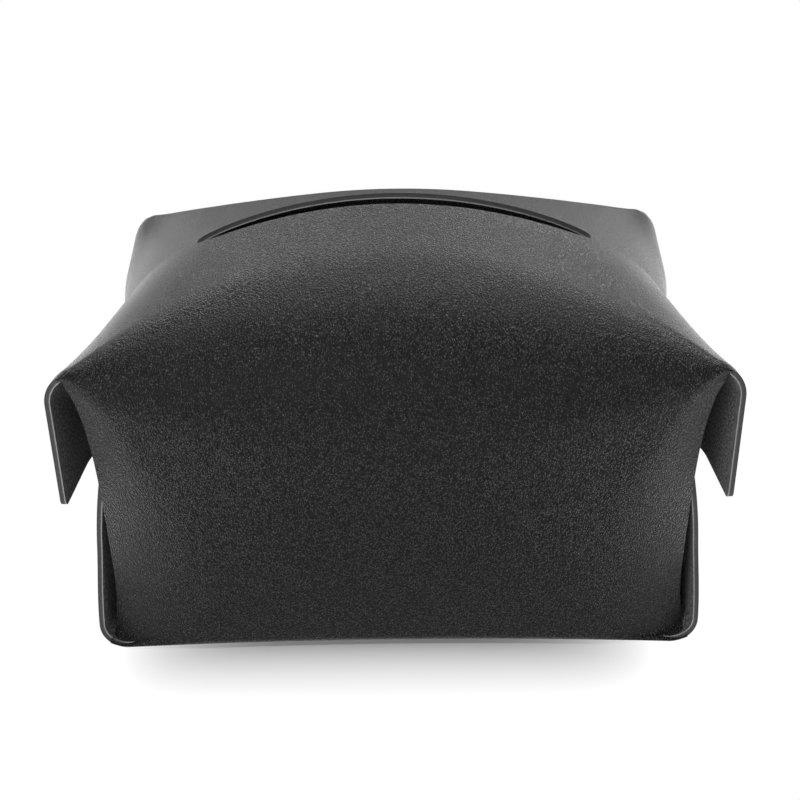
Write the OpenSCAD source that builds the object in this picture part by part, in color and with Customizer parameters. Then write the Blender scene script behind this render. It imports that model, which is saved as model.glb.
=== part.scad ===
// A leather cover for a soft pack of tissues. One die-cut sheet wraps the pack lengthwise. At each
// end an upper flap folds down from the top and a lower flap folds up from the base, and a snap
// fastener holds them together. It pulls the middle of the end in, and so four ears stand out.
// X runs along the length, the front is at -Y, and the base stands on Z = 0.

/* [Cover] */
// Length over the folds at the two ends
cover_length = 214; // [190:1:240]
// Depth over the front and back shoulders
shoulder_depth = 140; // [125:1:160]
// Depth over the foot at the corners
foot_depth = 150.6; // [135:0.1:165]
// How much narrower the foot is at mid length
waist_in = 5.6; // [0:0.1:10]
// Height of the four ears
ear_height = 106; // [90:0.5:115]
// Height of the crest beside the slot
crest_height = 134; // [115:0.5:150]
// Thickness of the leather
leather = 1.8; // [1.2:0.1:2.4]

/* [Slot] */
// Length of the slot that the tissues come out of
slot_length = 136; // [100:1:150]
// Width of the slot at mid length
slot_width = 10.5; // [8:0.5:16]
// Width of the blunt ends of the slot
slot_end_width = 3; // [2:0.5:5]

/* [Shoulders and folds] */
// Bend radius of the shoulders at mid length
shoulder_r_mid = 60; // [40:1:64]
// Bend radius of the shoulders at the ears
shoulder_r_ear = 4; // [3:0.5:8]
// How much higher the shoulder corner lies at mid length than at the ears
shoulder_rise = 10; // [4:0.5:14]
// Bend radius of the front and back foot
foot_r = 3.5; // [3:0.5:8]
// Bend radius of the upper end folds at the ears
upper_fold_r = 9.4; // [7:0.1:11]
// Bend radius of the lower end folds
lower_fold_r = 9; // [7.5:0.1:11]
// Drop of the crest line, at the end fold, that is spread over its length
crest_drop = 29.5; // [24:0.5:34]
// Drop of the valley, at the end fold, beyond that of the crest line
valley_drop = 11; // [6:1:16]
// Rise of the top beside the valley
lobe_rise = 1; // [0:0.5:5]

/* [End flaps] */
// Height of the lower edge of the upper flaps
upper_edge_z = 55; // [50:0.5:58]
// How far the upper flaps flare out at the ears
flare = 2; // [0:0.1:3]
// Height of the top edge of the lower flaps
lower_edge_z = 74; // [70:0.5:78]
// How far the lower flaps lean in towards the snap
lower_lean = 6.2; // [4:0.1:7]
// How far a panel's side edge stands in from the end folds
edge_inset = 14.8; // [12:0.1:17]
// How far that edge runs out towards each ear
ear_runout = 11; // [6:0.5:12]
// How far that edge runs out towards the foot
foot_runout = 2.9; // [1:0.1:4]
// How far the front and back panels curl in at their side edges
curl_in = 4.6; // [0:0.1:5]
// How far in from those edges the curl starts
curl_reach = 36; // [20:1:45]
// Corner radius of the flaps' tips
tip_r = 2.2; // [1:0.1:4]
// Width of the closing strip that laps the base at the back
strip_width = 26; // [20:1:34]

/* [Snap fasteners] */
// Distance of the snaps from the top edge of the lower flaps
snap_inset = 11.5; // [9:0.5:14]
// Diameter of the cap
cap_d = 12.4; // [11:0.1:13]
// Height of the domed cap
cap_h = 1.6; // [1.2:0.1:2.2]
// Diameter of the socket
socket_d = 11.4; // [10.4:0.1:12]
// Height of the socket
socket_h = 2.6; // [2.4:0.1:3]
// Diameter of the socket's mouth
mouth_d = 6.4; // [6.2:0.1:6.8]
// Diameter of the stud's knob
knob_d = 5.6; // [5:0.1:5.8]
// Height of the stud's knob
knob_h = 1.7; // [1.4:0.1:1.8]
// Diameter of the stud's base
stud_d = 9.8; // [9:0.1:11]
// Diameter of the shanks of the cap and the post
shank_d = 3.4; // [3:0.1:3.8]
// Diameter of the post's flange
flange_d = 9.4; // [8.6:0.1:11]
// Thickness of the flanges
flange_h = 0.6; // [0.4:0.1:0.8]

/* [Strip rivets] */
// Distance between neighbouring rivets
rivet_pitch = 62; // [40:1:66]
// Diameter of the rivet caps
rivet_d = 8; // [7:0.1:9]
// Height of the rivet caps
rivet_h = 1.5; // [1.2:0.1:2]
// Diameter of the rivet posts
rivet_post_d = 2.6; // [2.2:0.1:3]

/* [Hidden] */
$fn = 48;

// Gap between the edges of two bodies at a fold
fold_gap = 0.6;
// Gap between the strip and the base
lap_gap = 0.05;
// Gap between a socket's face and the stud's base
snap_gap = 0.1;
// Room between a shank and its hole
hole_ease = 0.02;
// How far a cut runs past a face
overrun = 0.5;
// How far the lower flaps stand in from the ears' folds
lower_setback = 5.4;
// Step for slopes along the length
probe = 0.01;
// Grid that the points of the sheet are rounded to
point_grid = 0.001;
// Angles in degrees
half_turn = 180;
quarter_turn = half_turn / 2;

// Depth over the foot at mid length, and the height of the snaps
waist_depth = foot_depth - waist_in;
snap_z = lower_edge_z - snap_inset;
// Where the end bends start, and the side edge at mid height
upper_bend_x = cover_length / 2 - upper_fold_r;
lower_wall_x = cover_length / 2 - lower_setback;
lower_bend_x = lower_wall_x - lower_fold_r;
edge_x = cover_length / 2 - edge_inset;

// The snap's stack between the two flaps sets how far the upper flap is pulled in
snap_stack = socket_h + snap_gap + flange_h;
lower_seat_x = lower_wall_x - lower_lean;
upper_seat_x = lower_seat_x + snap_stack + leather;
// The flaps are flat round the snap, and reach their full bulge this far from the middle
seat_half = 8.5;
bulge_reach = 42;
lower_seat_z = snap_z - seat_half;

// Shares of the shoulder's and the foot's bends that the end flaps take up
ear_take_share = 0.25;
foot_take_share = 0.42;
// Share of the fillet's run that lies past the bend's start
ear_loop_share = 0.86;
// Share of the panels' curl that the lower flaps leave room for
curl_room_share = 0.6;

function mix(a, b, t) = a + (b - a) * t;
function clamp(t) = min(1, max(0, t));
function ease(t) = let (c = clamp(t)) c * c * (3 - 2 * c);
function unit(v) = v / norm(v);

// Lines along the length, at the distance x from mid length
function lip_y(x) = let (s = clamp(x / (slot_length / 2)))
    mix(slot_end_width, slot_width, sqrt(1 - pow(s, 6))) / 2;
function crest_z(x) = let (s = x / upper_bend_x)
    crest_height - crest_drop * s * s - valley_drop * pow(s, 10);
function corner_z(x) = let (s = x / upper_bend_x) ear_height + shoulder_rise * (1 - pow(s, 4));
function foot_y(x) = let (s = x / upper_bend_x) mix(waist_depth, foot_depth, s * s) / 2;
function shoulder_r(x) = let (s = x / upper_bend_x) mix(shoulder_r_mid, shoulder_r_ear, s * s);
function lobe(x) = lobe_rise * ease((x - slot_length / 4) / (upper_bend_x - slot_length / 4));
function bump(v) = 27 / 4 * v * (1 - v) * (1 - v);

// Half of the cross-section at x, as [distance from the middle, height]. k runs 0 to 1 over the
// roof, 1 to 2 round the shoulder, 2 to 3 down the wall, 3 to 4 round the foot and 4 to 5 inwards.
function section(x, k, foot_z, foot_end) = let (
        lip = [lip_y(x), crest_z(x)],
        corner = [shoulder_depth / 2, corner_z(x)],
        foot = [foot_y(x), foot_z],
        roof_u = unit(lip - corner),
        wall_u = unit(foot - corner),
        pitch = atan2(roof_u[1], -roof_u[0]),
        turn = half_turn - acos(roof_u * wall_u),
        r = shoulder_r(x),
        run = r * tan(turn / 2),
        centre = corner + unit(roof_u + wall_u) * r / cos(turn / 2),
        foot_turn = half_turn - pitch - turn,
        foot_run = foot_r * tan(foot_turn / 2),
        foot_c = [foot[0] - foot_run, foot_z + foot_r],
        p = k < 1 ? mix(lip, corner + roof_u * run, k)
          : k < 2 ? let (a = pitch + turn * (k - 1)) centre + r * [sin(a), cos(a)]
          : k < 3 ? mix(corner + wall_u * run, foot - wall_u * foot_run, k - 2)
          : k < 4 ? let (a = pitch + turn + foot_turn * (k - 3)) foot_c + foot_r * [sin(a), cos(a)]
          : [mix(foot_c[0], foot_end, k - 4), foot_z],
        v = clamp((p[0] - lip[0]) / (corner[0] - lip[0])))
    k < 2 ? [p[0], p[1] + lobe(x) * bump(v)] : p;

// Rows of the sheet are [side, k]: side -1 is the front, 1 the back. Where side is 0, k is the
// share of the base panel's half depth, towards the back.
strip_z = leather + lap_gap;
panel_end_y = foot_y(upper_bend_x) - foot_r / 2;
function row_point(row, x) = row[0] == 0 ? [panel_end_y * row[1], 0]
    : row[0] < 0 ? let (p = section(x, row[1], 0, 0)) [-p[0], p[1]]
    : section(x, row[1], strip_z, foot_y(0) - strip_width);

// The upper bend: how far out it takes the flap, and the direction it ends in
function bulge(y) = ease((abs(y) - seat_half) / (bulge_reach - seat_half));
function upper_wall_x(y) = mix(upper_seat_x, cover_length / 2, bulge(y));
function flare_angle(y) = atan(flare / (ear_height - upper_edge_z)) * bulge(y);
function upper_bend(row) = let (
        p = row_point(row, upper_bend_x),
        q = row_point(row, upper_bend_x - probe),
        start = atan((q[1] - p[1]) / probe),
        end = quarter_turn - flare_angle(p[0]),
        r = (upper_wall_x(p[0]) - upper_bend_x) / (sin(end) - sin(start)))
    [p, start, end, r, r * (end - start) * PI / half_turn];
// How much of a flap's end is cut back at the distance e from its side edge
function tip_cut(e) = e >= tip_r ? 0 : tip_r - sqrt(pow(tip_r, 2) - pow(tip_r - max(0, e), 2));
// A point at the distance d past the start of the upper bend
function upper_point(row, d) = let (
        b = upper_bend(row), p = b[0], r = b[3],
        a = b[1] + min(d, b[4]) / r * half_turn / PI,
        past = max(0, d - b[4]))
    [upper_bend_x + r * (sin(a) - sin(b[1])) + past * cos(a), p[0],
     p[1] - r * (cos(b[1]) - cos(a)) - past * sin(a)];
// Distance past the bend's start to the split in mid bend, and to the flap's lower edge
function upper_split(row) = upper_bend(row)[4] / 2;
function upper_end(row) = let (
        b = upper_bend(row), z = upper_point(row, b[4])[2],
        edge = row_point([row[0], 1 + ear_take_share], upper_bend_x)[0],
        lowest = upper_edge_z + tip_cut(abs(edge) - abs(b[0][0])))
    b[4] + (z - lowest) / sin(b[2]);

// The lower bend, and the lower flap's lean above it. Its top is narrow enough to stand between the
// curled side edges of the panels.
lower_arc = lower_fold_r * PI / 2;
lower_top_y = shoulder_depth / 2 - leather - fold_gap - curl_in * curl_room_share;
function lower_lean_at(y, z) = let (
        side = pow(max(0, z - lower_fold_r) / (snap_z - lower_fold_r), 2),
        mid = ease((z - 2 * lower_fold_r) / (lower_seat_z - 2 * lower_fold_r)))
    lower_lean * mix(mid, side, bulge(y));
function lower_taper(z) = mix(1, lower_top_y / (foot_depth / 2 - leather), ease(z / (lower_edge_z / 2)));
function lower_point(row, d) = let (
        p = row_point(row, lower_bend_x),
        a = min(d, lower_arc) / lower_fold_r * half_turn / PI,
        z = lower_fold_r * (1 - cos(a)) + max(0, d - lower_arc),
        y = p[0] * lower_taper(z))
    [lower_bend_x + lower_fold_r * sin(a) - lower_lean_at(y, z), y, p[1] + z];
lower_split = lower_arc / 2;
function lower_end(row) = let (
        p = row_point(row, lower_bend_x),
        edge = row_point(row[0] == 0 ? [0, 1] : [row[0], 4 - foot_take_share], lower_bend_x)[0])
    lower_arc + lower_edge_z - lower_fold_r - p[1] - tip_cut(abs(edge) - abs(p[0]));

// How far a panel curls in at the distance e from its side edge. The curl fades out towards the
// folds of the end flaps, where k is one plus the ear's share and four less the foot's.
function curl(row, e) = row[0] == 0 ? 0 : row[0] * curl_in * pow(clamp(1 - e / curl_reach), 2)
    * ease((row[1] - 1 - ear_take_share) / (1 - ear_take_share))
    * ease((4 - foot_take_share - row[1]) / (1 - foot_take_share));
// Any point of the sheet, at the distance m along the length from the middle, on a row that runs
// as far as edge
function sheet_point(row, m, edge) = let (
        x = abs(m), side = m < 0 ? -1 : 1, p = row_point(row, x),
        q = row[0] != 0 && row[1] <= 2 && x > upper_bend_x ? upper_point(row, x - upper_bend_x)
          : (row[0] == 0 || row[1] >= 3) && x > lower_bend_x ? lower_point(row, x - lower_bend_x)
          : [x, p[0], p[1]])
    [side * q[0], q[1] - curl(row, edge - x), q[2]];

// How far each row of the body runs from mid length: to the split of a fold on the rows that
// carry a flap, round a fillet in the corner of the notch, and to the side edge of the panel. The
// strip stops short of the base's bend, and so lies flat.
strip_edge = lower_bend_x - leather;
function foot_far(side) = side > 0 ? strip_edge : lower_bend_x + lower_split;
function edge_at(z) = edge_x + ear_runout * pow(clamp(1 - (ear_height - z) / (ear_height / 2)), 2)
    + foot_runout * pow(clamp(1 - (z - foot_r) / (ear_height / 4)), 2);
function loop_edge(q, far, near) = far - (far - near) * sqrt(1 - pow(1 - clamp(q), 2));
function row_edge(row) = let (side = row[0], k = row[1])
    side == 0 || k >= 4 - foot_take_share ? foot_far(side)
    : k <= 1 + ear_take_share ? upper_bend_x + upper_split(row)
    : k < 2 ? loop_edge((k - 1 - ear_take_share) / (1 - ear_take_share),
        upper_bend_x + upper_split([side, 1 + ear_take_share]) * ear_loop_share, edge_at(ear_height))
    : k < 3 ? edge_at(row_point(row, edge_x)[1])
    : loop_edge((4 - foot_take_share - k) / (1 - foot_take_share), foot_far(side), edge_at(foot_r));

// Steps over the rows and along the length, as shares, closer where the sheet bends
roof_shares = [0, 0.08, 0.18, 0.32, 0.5, 0.72, 1];
ear_shares = [0.12, ear_take_share, 0.3, 0.42, 0.65, 1];
wall_shares = [0.2, 0.45, 0.75, 1];
foot_shares = [0.25, 0.45, 0.54, 1 - foot_take_share, 0.8, 1];
half_rows = concat(roof_shares, [for (s = ear_shares) 1 + s], [for (s = wall_shares) 2 + s],
    [for (s = foot_shares) 3 + s], [5]);
panel_shares = [1, 0.8, 0.45];
sheet_rows = concat([for (s = panel_shares) [0, s]],
    [for (i = [len(half_rows) - 1:-1:0]) [-1, half_rows[i]]], [for (k = half_rows) [1, k]]);
slot_share = slot_length / 2 / (upper_bend_x + upper_split([-1, 0]));
slot_shares = [0, 0.2, 0.4, 0.58, 0.72, 0.84, 0.93, 0.98, 1];
end_shares = [0.14, 0.3, 0.46, 0.62, 0.76, 0.84, 0.9, 0.95, 1];
length_shares = concat([for (s = slot_shares) s * slot_share],
    [for (s = end_shares) mix(slot_share, 1, s)]);
steps = len(length_shares) - 1;
sheet_shares = concat([for (i = [steps:-1:1]) -length_shares[i]], length_shares);
// The row in front of the slot, and the first and last columns of the slot
slot_row = len(panel_shares) + len(half_rows) - 1;
slot_first = steps - (len(slot_shares) - 1);
slot_last = steps + (len(slot_shares) - 1);

// A closed solid of the leather's thickness from a grid of points on its outer face. The grain
// side faces the way that a step along a row turns into a step to the next row. Cells whose keep
// is false are left open.
function cleaned(p) = [for (c = p) round(c / point_grid) * point_grid];
module thick_sheet(grid, keep) {
    ni = len(grid);
    nj = len(grid[0]);
    all = ni * nj;
    function kept(i, j) = i >= 0 && j >= 0 && i < ni - 1 && j < nj - 1 && keep[i][j];
    function open_row(i, j) = kept(i, j) || kept(i, j - 1);
    function open_col(i, j) = kept(i, j) || kept(i - 1, j);
    inner = [for (i = [0:ni - 1]) for (j = [0:nj - 1])
        let (up = grid[open_row(i, j) ? i + 1 : i][j], down = grid[open_row(i - 1, j) ? i - 1 : i][j],
             on = grid[i][open_col(i, j) ? j + 1 : j], back = grid[i][open_col(i, j - 1) ? j - 1 : j],
             n = cross(on - back, up - down), m = norm(n))
        cleaned(grid[i][j] - n / (m == 0 ? 1 : m) * leather)];
    points = concat([for (row = grid) for (p = row) cleaned(p)], inner);
    faces = [for (i = [0:ni - 2]) for (j = [0:nj - 2]) if (keep[i][j])
        let (a = i * nj + j, b = a + nj, c = b + 1, d = a + 1)
        each concat([[a, b, c], [a, c, d], [all + a, all + c, all + b], [all + a, all + d, all + c]],
            kept(i - 1, j) ? [] : [[a, d, all + d], [a, all + d, all + a]],
            kept(i + 1, j) ? [] : [[c, b, all + b], [c, all + b, all + c]],
            kept(i, j - 1) ? [] : [[b, a, all + a], [b, all + a, all + b]],
            kept(i, j + 1) ? [] : [[d, c, all + c], [d, all + c, all + d]])];
    polyhedron(points, faces, convexity = 8);
}

module cover_sheet() {
    grid = [for (row = sheet_rows) let (edge = row_edge(row))
        [for (s = sheet_shares) sheet_point(row, s * edge, edge)]];
    keep = [for (i = [0:len(grid) - 2]) [for (j = [0:len(sheet_shares) - 2])
        i != slot_row || j < slot_first || j >= slot_last]];
    color("#262626") difference() {
        thick_sheet(grid, keep);
        for (n = [-1:1]) strip_hole(n);
    }
}

// The end flaps at the right, with a hole for the snap's shank, and mirrored at the left
bend_shares = [0, 0.25, 0.5, 0.75, 1];
drop_shares = [0.1, 0.3, 0.65, 1];
flap_roof = concat(roof_shares, [1 + ear_shares[0], 1 + ear_take_share]);
upper_rows = concat([for (i = [len(flap_roof) - 1:-1:0]) [-1, flap_roof[i]]],
    [for (k = flap_roof) [1, k]]);
flap_foot = [4 - foot_take_share, 4 - foot_take_share / 2, 4, 4.25, 4.6, 4.85, 4.95, 5];
module flap(right, grid, x, d) {
    keep = [for (i = [0:len(grid) - 2]) [for (j = [0:len(grid[0]) - 2]) true]];
    mirror([right ? 0 : 1, 0, 0]) color("#262626") difference() {
        thick_sheet(grid, keep);
        translate([x - leather - overrun, 0, snap_z]) rotate([0, quarter_turn, 0])
            cylinder(h = leather + 2 * overrun, d = d);
    }
}
module upper_flap(right) {
    grid = [for (row = upper_rows) let (bend = upper_bend(row)[4], end = upper_end(row),
            split = upper_split(row) + fold_gap)
        concat([for (s = bend_shares) upper_point(row, mix(split, bend, s))],
               [for (s = drop_shares) upper_point(row, mix(bend, end, s))])];
    flap(right, grid, upper_seat_x, shank_d + 2 * hole_ease);
}
// The base panel's rows at the back lie flat out to its raw edge, and so the lower flap has its
// front edge on the foot's bend and its back edge on the panel's
lower_shares = [0.12, 0.3, 0.45, 0.6, 0.72, 0.84, 1];
base_shares = [1, 0.99, 0.98, 0.9, 0.72, 0.5, 0.28, 0.14, 0.06];
lower_rows = concat([for (s = base_shares) [0, s]],
    [for (i = [len(flap_foot) - 1:-1:0]) [-1, flap_foot[i]]]);
module lower_flap(right) {
    grid = [for (row = lower_rows) let (end = lower_end(row))
        concat([for (s = bend_shares) lower_point(row, mix(lower_split + fold_gap, lower_arc, s))],
               [for (s = lower_shares) lower_point(row, mix(lower_arc, end, s))])];
    flap(right, grid, lower_seat_x, shank_d + 2 * hole_ease);
}

// Snap fastener at the right, built along +X from the inside, and mirrored at the left
module snap_place(right, x) {
    mirror([right ? 0 : 1, 0, 0]) translate([x, 0, snap_z]) rotate([0, quarter_turn, 0]) children();
}
// Where the socket's mouth and the post's flange lie
socket_x = upper_seat_x - leather - socket_h;
post_x = lower_seat_x - leather - flange_h;
// Thickness of the socket's back, and depth of its mouth
back_h = flange_h;
mouth_depth = socket_h - back_h;
// Wire of the spring, and the groove that it lies in
wire_d = 0.7;
groove_d = mouth_d + 2.2 * wire_d;
groove_h = 1.2 * wire_d;
// Radius of the pressed rims
rim_r = 0.4;
// How far a set end is spread over the hole that it fills, and how thick it is
spread = 0.5;
spread_h = 0.25;
// Radius of the cap's dome
dome_r = pow(cap_d, 2) / 8 / cap_h + cap_h / 2;
// Domed cap on the grain side of the upper flap, with a shank that is set over the socket's back
module snap_cap(right) {
    color("#3a3a3c") snap_place(right, upper_seat_x) rotate_extrude() {
        intersection() {
            translate([0, cap_h - dome_r]) circle(r = dome_r, $fn = 96);
            square([cap_d / 2, cap_h]);
        }
        translate([0, -leather - back_h]) square([shank_d / 2, leather + back_h + cap_h / 2]);
        translate([0, -leather - back_h - spread_h]) square([shank_d / 2 + spread, spread_h]);
    }
}
// Socket on the suede side of the upper flap: a cup with a groove for the spring
module snap_socket(right) {
    color("silver") snap_place(right, socket_x) rotate_extrude() difference() {
        translate([shank_d / 2 + hole_ease, 0])
            square([socket_d / 2 - shank_d / 2 - hole_ease, socket_h]);
        translate([0, -overrun]) square([mouth_d / 2, mouth_depth + overrun]);
        translate([0, mouth_depth - groove_h]) square([groove_d / 2, groove_h]);
        polygon([[socket_d / 2 - rim_r, -overrun], [socket_d / 2 + overrun, -overrun],
            [socket_d / 2 + overrun, rim_r], [socket_d / 2, rim_r], [socket_d / 2 - rim_r, 0]]);
    }
}
// Ring of spring wire in the socket's groove, which grips the knob
module snap_spring(right) {
    color("gold") snap_place(right, socket_x + mouth_depth - groove_h / 2) rotate_extrude()
        translate([(mouth_d + wire_d) / 2 + hole_ease, 0]) circle(d = wire_d, $fn = 24);
}
// Stud on the grain side of the lower flap: a base and a hollow knob with a rounded head
module snap_stud(right) {
    color("silver") snap_place(right, lower_seat_x) rotate_extrude() difference() {
        union() {
            square([stud_d / 2, flange_h]);
            square([knob_d / 2 - rim_r / 2, flange_h + knob_h - rim_r]);
            translate([0, flange_h + knob_h / 2]) square([knob_d / 2, knob_h / 2 - rim_r]);
            translate([0, flange_h + knob_h - rim_r]) square([knob_d / 2 - rim_r, rim_r]);
            translate([knob_d / 2 - rim_r, flange_h + knob_h - rim_r]) circle(r = rim_r, $fn = 24);
        }
        translate([0, -overrun]) square([shank_d / 2 + hole_ease, flange_h + overrun]);
        translate([0, flange_h]) square([shank_d / 2 + spread + hole_ease, knob_h - rim_r]);
    }
}
// Post with its flange inside the cover, and a shank that is set inside the stud's knob
module snap_post(right) {
    shank = flange_h + leather + flange_h;
    color("silver") snap_place(right, post_x) rotate_extrude() {
        square([flange_d / 2, flange_h]);
        square([shank_d / 2, shank + spread_h]);
        translate([0, shank]) square([shank_d / 2 + spread, spread_h]);
    }
}

// Rivets that close the sheet into a tube, along the strip that laps the base at the back
strip_top = strip_z + leather;
rivet_dome_r = pow(rivet_d, 2) / 8 / rivet_h + rivet_h / 2;
module rivet_place(n) {
    translate([n * rivet_pitch, foot_y(0) - foot_r - strip_width / 2, 0]) children();
}
// Hole through both layers, with a seat that keeps the flange flush with the underside
module strip_hole(n) {
    rivet_place(n) translate([0, 0, -overrun]) {
        cylinder(h = strip_top + 2 * overrun, d = rivet_post_d + 2 * hole_ease);
        cylinder(h = overrun + flange_h, d = rivet_d + 2 * hole_ease);
    }
}
// Post with its flange in the seat under the base, and a shank that ends inside the cap
module strip_rivet_post(n) {
    color("silver") rivet_place(n) rotate_extrude() {
        translate([0, lap_gap]) square([rivet_d / 2, flange_h - lap_gap]);
        translate([0, lap_gap]) square([rivet_post_d / 2, strip_top + rivet_h / 2]);
    }
}
// Domed cap on the suede side of the strip
module strip_rivet_cap(n) {
    color("silver") rivet_place(n) translate([0, 0, strip_top]) rotate_extrude() difference() {
        intersection() {
            translate([0, rivet_h - rivet_dome_r]) circle(r = rivet_dome_r, $fn = 96);
            square([rivet_d / 2, rivet_h]);
        }
        translate([0, -overrun])
            square([rivet_post_d / 2 + hole_ease, overrun + lap_gap + rivet_h / 2]);
    }
}

cover_sheet();
upper_flap(false);  // left_upper_flap
lower_flap(false);  // left_lower_flap
upper_flap(true);  // right_upper_flap
lower_flap(true);  // right_lower_flap
snap_cap(false);  // left_snap_cap
snap_socket(false);  // left_snap_socket
snap_spring(false);  // left_snap_spring
snap_stud(false);  // left_snap_stud
snap_post(false);  // left_snap_post
snap_cap(true);  // right_snap_cap
snap_socket(true);  // right_snap_socket
snap_spring(true);  // right_snap_spring
snap_stud(true);  // right_snap_stud
snap_post(true);  // right_snap_post
strip_rivet_post(-1);  // strip_rivet_post_1
strip_rivet_post(0);  // strip_rivet_post_2
strip_rivet_post(1);  // strip_rivet_post_3
strip_rivet_cap(-1);  // strip_rivet_cap_1
strip_rivet_cap(0);  // strip_rivet_cap_2
strip_rivet_cap(1);  // strip_rivet_cap_3
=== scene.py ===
import math

import bpy
import numpy as np
from mathutils import Matrix, Vector


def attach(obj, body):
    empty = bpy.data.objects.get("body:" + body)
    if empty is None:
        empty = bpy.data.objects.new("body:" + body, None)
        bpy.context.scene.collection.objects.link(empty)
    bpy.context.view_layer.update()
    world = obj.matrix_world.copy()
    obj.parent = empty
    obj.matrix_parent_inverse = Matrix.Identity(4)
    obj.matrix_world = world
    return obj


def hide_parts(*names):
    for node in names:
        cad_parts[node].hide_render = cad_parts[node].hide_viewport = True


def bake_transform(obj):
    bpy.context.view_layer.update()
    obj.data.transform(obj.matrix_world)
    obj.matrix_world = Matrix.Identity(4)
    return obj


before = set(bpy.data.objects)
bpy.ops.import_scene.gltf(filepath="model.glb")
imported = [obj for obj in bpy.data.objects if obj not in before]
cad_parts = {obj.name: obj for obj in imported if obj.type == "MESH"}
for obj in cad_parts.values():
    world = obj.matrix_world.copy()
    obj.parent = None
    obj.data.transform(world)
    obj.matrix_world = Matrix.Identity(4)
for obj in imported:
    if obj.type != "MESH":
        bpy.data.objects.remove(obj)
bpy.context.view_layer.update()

# The die-cut sheet. The real cover is one blank of pebbled leather about 1.8 mm thick, cut with a
# slot and four tongues, wrapped lengthwise and folded in at both ends. Its rules are those of the
# solid's sections and folds, in millimetres, but finer and, at the ears, nearer the photograph.
COVER_LENGTH = 214.0
SHOULDER_DEPTH = 140.0
FOOT_DEPTH = 150.6
WAIST_DEPTH = 145.0
EAR_HEIGHT = 106.0
CREST_HEIGHT = 134.0
LEATHER = 1.8
SLOT_LENGTH = 136.0
SLOT_WIDTH = 10.5
SLOT_END_WIDTH = 3.0
SLOT_POWER = 6
SHOULDER_R_MID = 60.0
SHOULDER_R_EAR = 6.0
SHOULDER_RISE = 10.0
RISE_POWER = 4
FOOT_R = 3.5
UPPER_FOLD_R = 9.4
LOWER_FOLD_R = 9.0
CREST_DROP = 29.5
VALLEY_DROP = 11.0
VALLEY_POWER = 10
LOBE_RISE = 1.0
UPPER_EDGE_Z = 55.0
FLARE = 2.0
LOWER_EDGE_Z = 74.0
LOWER_LEAN = 6.2
EDGE_INSET = 12.0
EAR_RUNOUT = 13.0
EAR_SWEEP = 4
FOOT_RUNOUT = 2.9
TIP_R = 2.2
STRIP_WIDTH = 26.0
STRIP_GAP = 0.05
# The snaps pull the flaps together over a flat seat, past which the flaps bulge
SNAP_Z = 62.5
SNAP_STACK = 3.3
SEAT_HALF = 8.5
BULGE_REACH = 42.0
LOWER_SETBACK = 5.4
FOLD_GAP = 0.6
# How much of the shoulder's and the foot's bends the tongues take with them
EAR_TAKE = 0.3
FOOT_TAKE = 0.42
# The panels' side edges curl in, the solid's a little less, and narrow their curl towards the ears
CURL_IN = 6.5
CURL_REACH = 36.0
CURL_REACH_EAR = 13.0
CURL_POWER = 0.7
CURL_NARROWS = 0.4
CAD_CURL_IN = 4.6
CURL_ROOM = 0.6
STRIP_Z = LEATHER + STRIP_GAP

UPPER_BEND_X = COVER_LENGTH / 2 - UPPER_FOLD_R
LOWER_WALL_X = COVER_LENGTH / 2 - LOWER_SETBACK
LOWER_BEND_X = LOWER_WALL_X - LOWER_FOLD_R
LOWER_ARC = LOWER_FOLD_R * math.pi / 2
LOWER_SPLIT = LOWER_ARC / 2
EDGE_X = COVER_LENGTH / 2 - EDGE_INSET
LOWER_SEAT_X = LOWER_WALL_X - LOWER_LEAN
UPPER_SEAT_X = LOWER_SEAT_X + SNAP_STACK + LEATHER
STRIP_EDGE = LOWER_BEND_X - LEATHER


def mix(a, b, t):
    """The value a share t of the way from a to b."""
    return a + (b - a) * t


def ease(t):
    """A share that starts and ends gently."""
    t = np.clip(t, 0, 1)
    return t * t * (3 - 2 * t)


def foot_y(x):
    """How far out the wall's foot stands, which the waist draws in at mid length."""
    return mix(WAIST_DEPTH, FOOT_DEPTH, (x / UPPER_BEND_X) ** 2) / 2


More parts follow.
